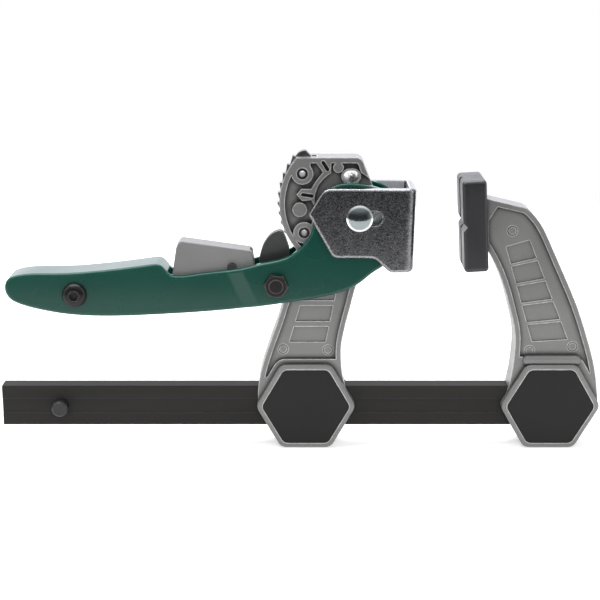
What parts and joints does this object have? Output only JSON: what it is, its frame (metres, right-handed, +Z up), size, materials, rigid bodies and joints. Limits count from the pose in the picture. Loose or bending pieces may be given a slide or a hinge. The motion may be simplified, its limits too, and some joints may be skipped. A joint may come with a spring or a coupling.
{
  "type": "quick-action lever clamp",
  "caption": "Small bar clamp with a toothed quick-action lever that drives a folded metal shoe towards a soft-faced fixed jaw; the lever-side jaw slides along a flat bar.",
  "frame": {"origin": "middle of the clamp's length and thickness, on the plane it stands on, which holds the bottom flats of the two hexagonal bosses", "axes": "+X along the rail from its free end to the fixed jaw, +Y across the clamp away from the pictured side, +Z up from the rail to the jaws"},
  "size_m": [0.2616, 0.0288, 0.1309],
  "materials": {
    "rail_black": "satin black oxide",
    "pin_black": "black oxide",
    "casting_grey": "fine textured silver-grey paint",
    "cover_black": "satin black",
    "pad_black": "matt",
    "sector_steel": "plated steel",
    "pin_steel": "zinc plated",
    "zinc": "bright zinc plated",
    "lever_green": "semi-gloss green paint",
    "screw_black": "black oxide",
    "pawl_dark": "dark phosphated steel",
    "trigger_grey": "fine matt",
    "spring_steel": "drawn wire"
  },
  "bodies": {
    "frame": {"rail": "rail_black", "stop_pin": "pin_black", "fixed_jaw": "casting_grey", "fixed_jaw_pins": "pin_steel", "fixed_cover_front": "cover_black", "fixed_cover_back": "cover_black", "jaw_pad": "pad_black"},
    "slide": {"sliding_jaw": "casting_grey", "slide_cover_front": "cover_black", "slide_cover_back": "cover_black", "ratchet_sector": "sector_steel", "sector_roll_pins": "pin_steel", "cross_pin": "pin_steel", "pivot_rivet": "zinc", "rivet_washers": "zinc"},
    "shoe": {"pressure_shoe": "zinc"},
    "lever_arm": {"lever": "lever_green", "handle_screw": "screw_black", "handle_nut": "screw_black", "handle_spacer": "pin_steel", "pawl_bolt": "screw_black", "pawl_nut": "screw_black", "pawl_bushes": "pin_steel", "pawl_spring": "spring_steel", "trigger_pin": "pin_steel", "trigger_spring": "spring_steel"},
    "pawl": {"pawl": "pawl_dark"},
    "trigger": {"trigger": "trigger_grey"}
  },
  "joints": [
    {"name": "jaw_slide", "type": "slide", "parent": "frame", "child": "slide", "axis": [1, 0, 0], "range_m": [-0.0823, 0.0183]},
    {"name": "lever_swing", "type": "hinge", "parent": "slide", "child": "lever_arm", "pos_m": [0.02508, 0, 0.1036], "axis": [0, 1, 0], "range_deg": [0, 60]},
    {"name": "shoe_slide", "type": "slide", "parent": "slide", "child": "shoe", "axis": [1, 0, 0], "range_m": [-0.0056, 0]},
    {"name": "pawl_swing", "type": "hinge", "parent": "lever_arm", "child": "pawl", "pos_m": [-0.01022, 0, 0.074], "axis": [0, 1, 0], "range_deg": [-21.6, 0]},
    {"name": "trigger_press", "type": "hinge", "parent": "lever_arm", "child": "trigger", "pos_m": [-0.02912, 0, 0.0808], "axis": [0, -1, 0], "range_deg": [0, 10], "stiffness_Nm_per_rad": 0.08, "springref_deg": -20.05}
  ],
  "couplings": [
    {"joint": "shoe_slide", "follows": "lever_swing", "m_per_rad": -0.005},
    {"joint": "pawl_swing", "follows": "lever_swing", "ratio": -0.36}
  ]
}
